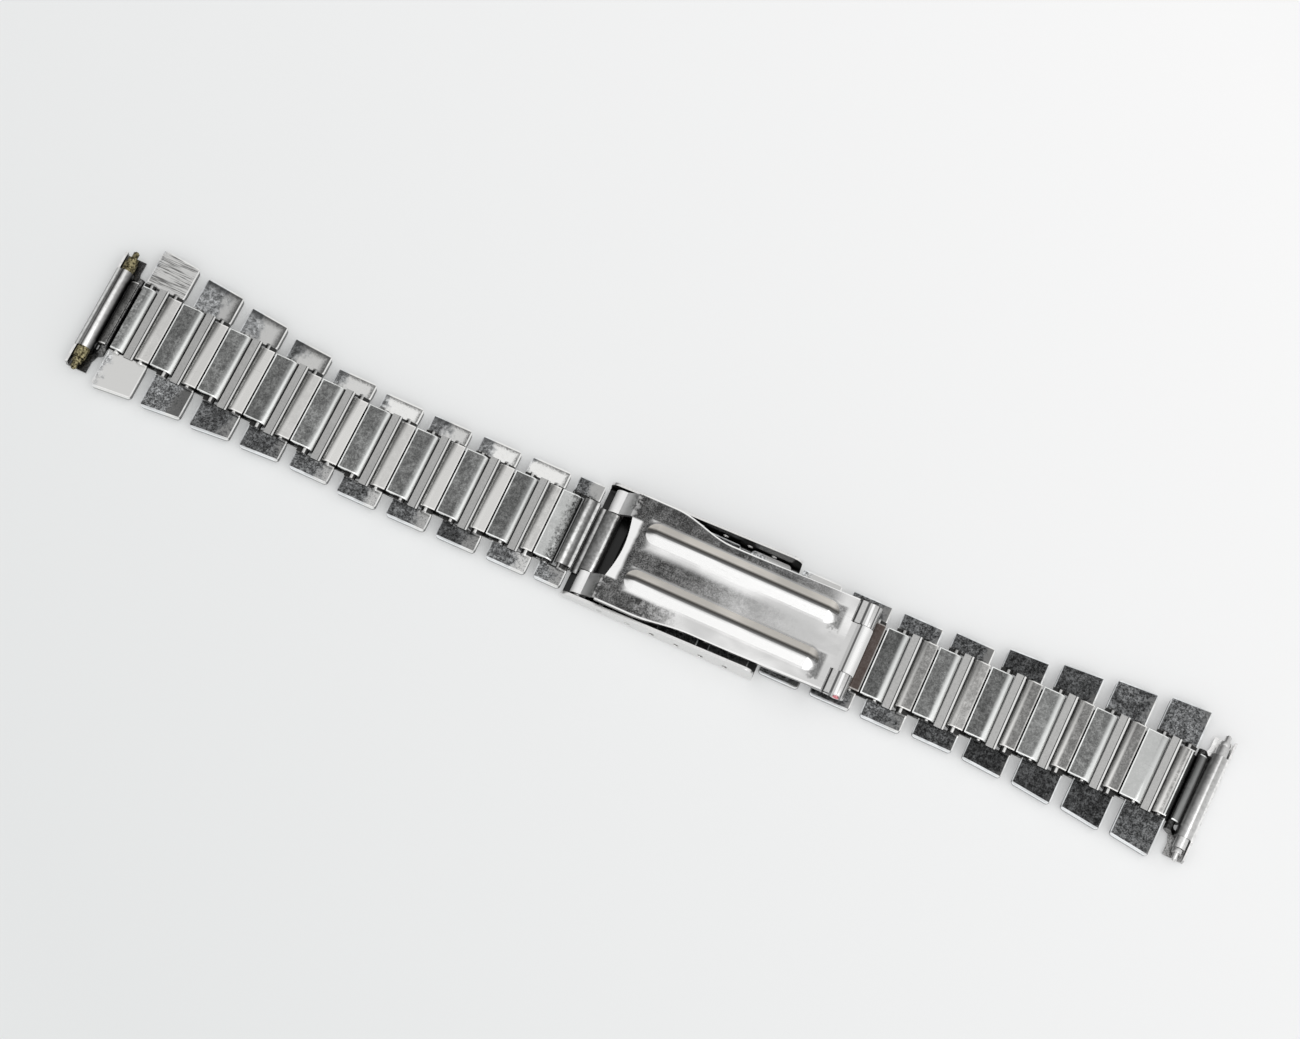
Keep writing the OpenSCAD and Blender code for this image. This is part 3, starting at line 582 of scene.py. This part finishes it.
def pin_clip_steel(net, here, look):
    x, y, z = net.xyz(here)
    tubes = net.bands(x, -PIN_CLIP_END, PIN_CLIP_END, PIN_CLIP_LIGHT_STOPS)
    worn = net.call(tarnish, Vector=here, Seed=look["Seed"])["Blots"]
    wear = net.tint(worn, (0.75, 0.75, 0.74, 1.0), (1.1, 1.1, 1.09, 1.0))
    return net.tint(1.0, tubes, wear, "MULTIPLY"), 0.3


def clip_steel(net, here, look):
    parts = net.call(clip_look, Vector=here, **look)
    return parts["Color"], parts["Roughness"]


def brown_shaded_clip_steel(net, here, look):
    """The clip next to the blade's tongue, whose left flap is painted brown: painted shade with a brownish
    painted reflection.
    """
    x, y, z = net.xyz(here)
    in_brown_shade = net.step(x, SEAM_AT - 0.1, SEAM_AT - 0.3, 0.0, 0.6)
    colour, roughness = clip_steel(net, here, look)
    return net.tint(in_brown_shade, colour, BROWN_SHADE), roughness


ODD_STEELS = {"left_clip_01": pin_clip_steel, "right_clip_05": brown_shaded_clip_steel}
for side, flaps in (("left", LEFT_CLIPS), ("right", RIGHT_CLIPS)):
    is_left = side == "left"
    for i, flap in enumerate(flaps):
        name = "%s_clip_%02d" % (side, i + 1)
        spacing = ODD_SPACINGS.get(name, BAR_SPACING)
        place, angle, sign = strand_frame(name, spacing / 2)
        look = dict(zip(CLIP_VALUES, flap))
        look["Half length"] = spacing / 2 + BEND_RADIUS
        look["Band"] = 0.35 if is_left else 0.75
        look["Seed"] = 2.3 * i + (20.0 if is_left else 80.0)
        finish = ODD_STEELS.get(name, clip_steel)

        def this_clip(net, here, finish=finish, look=look):
            return finish(net, here, look)

        dress(name, steel("steel_" + name, place, angle, this_clip), CLIP_EDGE)


# Inner blade: the clasp's upper leaf, pressed steel sheet with two ribs, rolled ears at the
# left and a rolled tongue at the right. It is clouded towards the left strand and bright
# towards the right, with painted light and shade on its ribs, outline, walls, ears and tongue.
# Sizes in millimetres, along the strand from the middle of the cover.
RIB_AT = 3.3
RIB_END = 20.6
BLADE_TOP = 4.2
BLADE_LOW = 3.6
WAIST_FROM = -4.0
WAIST_TO = 4.1
HALF_AT_EARS = 7.5
HALF_AT_TONGUE = 6.35
NOTCH_AT = 21.3
FOLD_PIN_AT = 23.35
BLADE_EDGE = 0.00008
# Tones: dull clouds, painted shade on the rib crests and painted highlight on their lower slopes,
# painted highlight on the outline, painted shade on the walls, underside, tongue
DULL_CLOUD = 0.092
CREST_SHADE = 0.13
LOWER_SLOPE_HIGHLIGHT = 0.86
BLADE_EDGE_HIGHLIGHT = 0.9
BLADE_WALL_SHADE = 0.2
UNDERSIDE = 0.55
TONGUE = 0.62
TONGUE_SHADE = 0.15
TONGUE_GLARE = 0.93
blade_look, net, given, end = new_group("blade_look", ["Vector", "Seed"], ["Color", "Roughness"])
x, y, z = net.xyz(given["Vector"])
clouds = net.call(tarnish, Vector=given["Vector"], Seed=given["Seed"])
marks = net.call(scratches, Vector=given["Vector"], Seed=given["Seed"])
wave = net.line(net.noise(given["Vector"], 0.35, given["Seed"], 3.0, 0.6), 6.0, -3.0)
ragged = net.line(clouds["Speckle"], 1.2, net.line(clouds["Blots"], 1.6, -1.4))
reach = net.plus(x, net.plus(wave, ragged))

# Dull clouded parts: above, between and below the ribs, and next to the ears
above = net.times(net.step(y, 4.7, 5.1), net.step(reach, 20.0, 6.0, 0.75, 1.0), net.step(x, 20.0, 17.5))
amid = net.times(net.step(y, 1.5, 0.3), net.step(y, -1.85, -1.5), net.step(reach, 17.0, -3.0, 0.12, 1.0))
below = net.times(net.step(y, -4.7, -5.3), net.step(reach, 2.5, -4.0))
at_left = net.times(net.step(net.line(wave, 0.4, x), -5.4, -6.6),
                    net.step(net.plus(x, wave), -10.2, -8.6, 0.35, 1.0))
dull = net.most(above, amid, below, at_left)
mottle = net.times(net.vary(clouds["Speckle"], 0.5, 1.7),
                   net.vary(clouds["Blots"], 0.75, 1.25),
                   net.vary(clouds["Patches"], 0.75, 1.3))
soft = net.noise(net.stretch(given["Vector"], (0.5, 1.0, 1.0)), 0.3, 8.0, 2.0, 0.5)
plate = net.step(soft, 0.35, 0.65, 0.62, 0.86)
tone = net.blend(dull, plate, net.times(DULL_CLOUD, mottle))

# Ribs: painted light and shade, a light upper slope, dark crest and bright lower slope, and a
# mottled painted shadow round their ends
off_rib = net.times(net.minus(net.size(y), RIB_AT), net.math("SIGN", y))
raised = net.times(net.step(z, BLADE_TOP + 0.04, BLADE_TOP + 0.1), net.step(x, RIB_END, RIB_END - 0.2))
upper_slope = net.times(raised, net.step(off_rib, 0.0, 0.12))
lower_slope = net.times(raised, net.step(off_rib, -0.25, -0.5))
crest = net.times(raised, net.step(off_rib, 0.6, 0.2), net.step(off_rib, -0.3, -0.1))
tone = net.blend(upper_slope, tone, net.step(soft, 0.35, 0.65, 0.8, 0.95))
tone = net.blend(lower_slope, tone, LOWER_SLOPE_HIGHLIGHT)
tone = net.blend(crest, tone, CREST_SHADE)
rib_tip = net.times(net.step(x, RIB_END - 2.1, RIB_END - 1.0),
                    net.step(net.plus(off_rib, net.times(clouds["Blots"], 0.8)), -1.9, -1.2),
                    net.step(x, RIB_END, RIB_END - 0.5), net.step(off_rib, 1.5, 1.2))
tone = net.blend(net.times(rib_tip, 0.8), tone, net.times(CREST_SHADE, mottle))

# Painted highlight along the outline of the plate, painted shade on its walls, and its plain
# lower face
narrowed = net.step(x, WAIST_FROM, WAIST_TO)
half_width = net.line(narrowed, HALF_AT_TONGUE - HALF_AT_EARS, HALF_AT_EARS)
lean_aside = net.times(narrowed, net.step(x, WAIST_TO, NOTCH_AT, 1.0, 0.0), -0.4)
to_edge = net.minus(half_width, net.size(net.minus(y, lean_aside)))
on_plate = net.times(net.step(x, -9.0, -8.4), net.step(x, NOTCH_AT, NOTCH_AT - 0.1))
tone = net.blend(net.times(net.step(to_edge, 0.24, 0.12), on_plate), tone, BLADE_EDGE_HIGHLIGHT)
below_top = net.step(z, BLADE_TOP - 0.08, BLADE_TOP - 0.2)
underneath = net.step(z, BLADE_LOW + 0.15, BLADE_LOW + 0.08)
tone = net.blend(net.times(below_top, on_plate), tone, BLADE_WALL_SHADE)
tone = net.blend(net.times(underneath, on_plate), tone, UNDERSIDE)

# Painted highlights on the ears, the tongue with its painted shade and glare, and a painted
# highlight on the lip of the notch between the ears
on_ear = net.step(net.line(clouds["Blots"], -0.9, x), -8.6, -10.0)
tone = net.blend(on_ear, tone, net.step(x, -10.4, -9.4, 0.9, 0.5))
from_pin = net.minus(x, FOLD_PIN_AT)
shaded = net.times(net.step(from_pin, -0.8, -0.7), net.step(from_pin, -0.45, -0.55))
glaring = net.times(net.step(from_pin, -0.4, 0.0), net.step(from_pin, 0.8, 0.15))
tone = net.blend(net.step(x, NOTCH_AT + 0.1, NOTCH_AT + 0.3), tone, TONGUE)
tone = net.blend(shaded, tone, TONGUE_SHADE)
tone = net.blend(glaring, tone, TONGUE_GLARE)
lip = net.times(net.step(net.line(wave, 0.1, x), -7.0, -7.5), net.step(net.size(y), 4.3, 4.0))
tone = net.blend(lip, tone, BLADE_EDGE_HIGHLIGHT)
tone = net.times(tone, net.blend(marks["Mask"], 1.0, 0.88))
# Brownish painted reflection on the ribs' upper slopes
tinge = net.tint(upper_slope, (1.0, 0.997, 0.99, 1.0), (1.0, 0.965, 0.91, 1.0))
net.feed(end, "Color", net.cast(tone, tinge))
net.feed(end, "Roughness", net.blend(upper_slope, net.line(dull, 0.14, 0.24), 0.7))


def blade_steel(net, here):
    parts = net.call(blade_look, Vector=here, Seed=4.0)
    return parts["Color"], parts["Roughness"]


dress("inner_blade", steel("steel_inner_blade", (0, 0, 0), 0.0, blade_steel), BLADE_EDGE)


# Middle blade: the clasp's lower leaf, plain steel sheet that turns on the cover's pin. It is
# painted black as shade where it shows through the notch between the inner blade's ears, and
# bands of painted highlight and shade run round its two rolled knuckles at the right.
STEEL_WHITE = (1.0, 0.995, 0.985, 1.0)
SHADE_BLACK = (0.03, 0.03, 0.03, 1.0)
MIDDLE_GREY = (0.3, 0.3, 0.3, 1.0)
SHEET_ROUGHNESS = 0.28
MIDDLE_EDGE = 0.00006
# Bands of painted highlight and shade: from and to, in mm along the strand from the pin in the
# knuckles, and tone
KNUCKLE_LIGHT_BANDS = [(-1.95, -1.6, 0.05), (-1.0, -0.6, 0.12), (-0.4, 0.0, 1.0), (0.4, 0.65, 0.1)]

# Plain sheet and wire: one tone, more or less clouded by fine speckle
sheet_look, net, given, end = new_group("sheet_look", ["Vector", "Tone", "Cloud", "Seed"], ["Color"])
speckle = net.call(tarnish, Vector=given["Vector"], Seed=given["Seed"])["Speckle"]
tone = net.times(given["Tone"], net.blend(given["Cloud"], 1.0, net.line(speckle, 0.5, 0.4)))
net.feed(end, "Color", net.tint(tone, BLACK, STEEL_WHITE))


def middle_blade_steel(net, here):
    colour = net.call(sheet_look, Vector=here, Tone=0.66, Cloud=0.3, Seed=6.0)["Color"]
    x, y, z = net.xyz(here)
    # Painted black shade where the sheet shows through the notch
    colour = net.tint(net.step(x, -5.5, -7.0), colour, SHADE_BLACK)
    before_knuckles = net.times(net.step(x, 17.5, 19.5), net.step(x, NOTCH_AT + 0.1, NOTCH_AT))
    colour = net.tint(before_knuckles, colour, MIDDLE_GREY)
    from_pin = net.minus(x, FOLD_PIN_AT)
    for low, high, tone in KNUCKLE_LIGHT_BANDS:
        on_band = net.times(net.step(from_pin, low, low + 0.1), net.step(from_pin, high, high - 0.1))
        colour = net.tint(on_band, colour, (tone, tone, tone, 1.0))
    return colour, 0.3


dress("middle_blade", steel("steel_middle_blade", (0, 0, 0), 0.0, middle_blade_steel), MIDDLE_EDGE)


# Clasp cover: a bent U of steel sheet that lies on the table, with the middle blade's pin
# riveted through its two walls. Its outer faces are bright. Inside, the walls and the hinge
# end are painted near black and the floor dark grey, as shade between cover and blades.
WALL_INSIDE = 7.6
FLOOR_TOP = 0.5
FLOOR_SHADE = (0.2, 0.2, 0.2, 1.0)
COVER_EDGE = 0.00008


def cover_steel(net, here):
    colour = net.call(sheet_look, Vector=here, Tone=0.82, Cloud=0.25, Seed=8.0)["Color"]
    x, y, z = net.xyz(here)
    inside = net.times(net.step(net.size(y), WALL_INSIDE + 0.04, WALL_INSIDE + 0.02),
                       net.step(z, FLOOR_TOP - 0.2, FLOOR_TOP - 0.1))
    # Painted shade inside: black on the walls and at the hinge end, dark grey on the floor
    deep = net.most(net.step(z, FLOOR_TOP + 0.1, FLOOR_TOP + 0.2), net.step(x, -5.0, -7.0))
    return net.tint(inside, colour, net.tint(deep, FLOOR_SHADE, SHADE_BLACK)), SHEET_ROUGHNESS


dress("clasp_cover", steel("steel_clasp_cover", (0, 0, 0), 0.0, cover_steel), COVER_EDGE)


# Pins of the clasp and the sprung adjusting bar: plain drawn steel, pushed through the rolled
# eyes and the walls. The pin in the knuckles is red at its lower end.
PIN_END_RED = (0.75, 0.18, 0.22, 1.0)


def plain_steel(tone, cloud, seed):
    def build(net, here):
        parts = net.call(sheet_look, Vector=here, Tone=tone, Cloud=cloud, Seed=seed)
        return parts["Color"], SHEET_ROUGHNESS
    return build


def blade_pin_steel(net, here):
    colour, roughness = plain_steel(0.6, 0.3, 9.0)(net, here)
    x, y, z = net.xyz(here)
    red_end = net.times(net.step(y, -6.3, -6.35), net.step(x, 20.0, 21.0))
    return net.tint(red_end, colour, PIN_END_RED), roughness


dress("blade_pins", steel("steel_blade_pins", (0, 0, 0), 0.0, blade_pin_steel), 0.0)
for name in ("cover_hinge_pin", "adjust_bar_barrel", "adjust_bar_tip", "adjust_bar_spring"):
    dress(name, steel("steel_" + name, (0, 0, 0), 0.0, plain_steel(0.6, 0.3, 9.0)), 0.0)


# Watch ends: end pieces bent from thin sheet, whose middle tab is rolled over the spring bar.
# Bands of painted highlight and shade run across the tab, brightest along its crown, and the
# base under it is painted dark as shade, light only in the right piece's upper notch. Sizes in
# millimetres.
BAR_TO_HINGE = 2.2
TAB_HALF = 5.7
TAB_FROM = 1.05
RIM_FROM = 3.0
END_EDGE = 0.00006
PLAIN_GREY = (0.58, 0.58, 0.58, 1.0)
# Stops of painted highlight and shade across the tab: mm outwards from the bar's axis, tone
TAB_REACH = 1.2
TAB_LIGHT_STOPS = {
    "left": [(-1.1, 0.06), (-0.85, 0.13), (-0.5, 0.4), (-0.28, 0.95), (-0.05, 0.95), (0.1, 0.4),
             (0.25, 0.05), (0.4, 0.35), (0.7, 0.5), (0.85, 0.95), (1.0, 0.9), (1.15, 0.4)],
    "right": [(-1.15, 0.06), (-1.05, 0.35), (-0.3, 0.42), (-0.1, 0.6), (0.02, 0.98), (0.14, 0.9),
              (0.24, 0.45), (0.8, 0.6), (0.95, 0.95), (1.15, 0.9)]}
# Tone of the base, painted shade where it is dark, next to the hinge, then in its upper and its
# lower notch
BASES = {"left": (0.12, 0.05, 0.05), "right": (0.05, 0.85, 0.25)}
for side in ("left", "right"):
    name = side + "_end_piece"
    place, angle, sign = strand_frame(name, 0.0)

    def end_steel(net, here, side=side, sign=sign):
        clouds = net.call(tarnish, Vector=here, Seed=11.0)
        x, y, z = net.xyz(net.stretch(here, (sign, 1.0, 1.0)))
        far_y = net.size(y)
        tab = net.bands(net.minus(x, BAR_TO_HINGE), -TAB_REACH, TAB_REACH, TAB_LIGHT_STOPS[side])
        hinge_tone, upper_notch, lower_notch = BASES[side]
        notch = net.blend(net.step(y, -0.5, 0.5), lower_notch, upper_notch)
        base = net.blend(net.step(far_y, TAB_HALF - 0.2, TAB_HALF), hinge_tone, notch)
        specks = net.vary(clouds["Speckle"], 0.4, 2.0)
        base = net.times(base, net.blend(base, specks, 1.0))
        # The rim is light at the top and fades into the painted shade of the base lower down
        rim = net.times(net.step(x, RIM_FROM, RIM_FROM + 0.05), net.step(z, 0.1, 0.3, 0.35, 1.0))
        on_tab = net.times(net.step(far_y, TAB_HALF + 0.04, TAB_HALF),
                           net.step(x, TAB_FROM, TAB_FROM + 0.05))
        tone = net.tint(on_tab, net.blend(rim, base, 0.85), tab)
        tone = net.tint(net.step(z, -1.15, -1.3), tone, PLAIN_GREY)
        shine = net.tint(net.vary(clouds["Blots"], 0.85, 1.1), BLACK, STEEL_WHITE)
        return net.tint(1.0, tone, shine, "MULTIPLY"), 0.32

    dress(name, steel("steel_" + name, place, angle, end_steel), END_EDGE)


# Spring bars, which hold the bracelet to the watch: a tube with a coil spring inside and a
# shouldered tip at each end. The left bar is crusted olive brown, the right one is clean.
DARK_CRUST = (0.035, 0.028, 0.014, 1.0)
PALE_CRUST = (0.46, 0.41, 0.24, 1.0)
BAR_EDGE = 0.00004


def crusted_steel(net, here):
    crust = net.noise(here, 3.0, 5.0, 4.0, 0.7)
    return net.tint(net.step(crust, 0.4, 0.62), DARK_CRUST, PALE_CRUST), 0.5


BAR_STEELS = {"left": crusted_steel, "right": plain_steel(0.72, 0.4, 13.0)}
for side, bar_steel in BAR_STEELS.items():
    spring = side + "_bar_spring"
    dress(spring, steel("steel_" + spring, (0, 0, 0), 0.0, plain_steel(0.5, 0.2, 12.0)), 0.0)
    for part in ("_bar_barrel", "_bar_tip_a", "_bar_tip_b"):
        dress(side + part, steel("steel_" + side + part, (0, 0, 0), 0.0, bar_steel), BAR_EDGE)
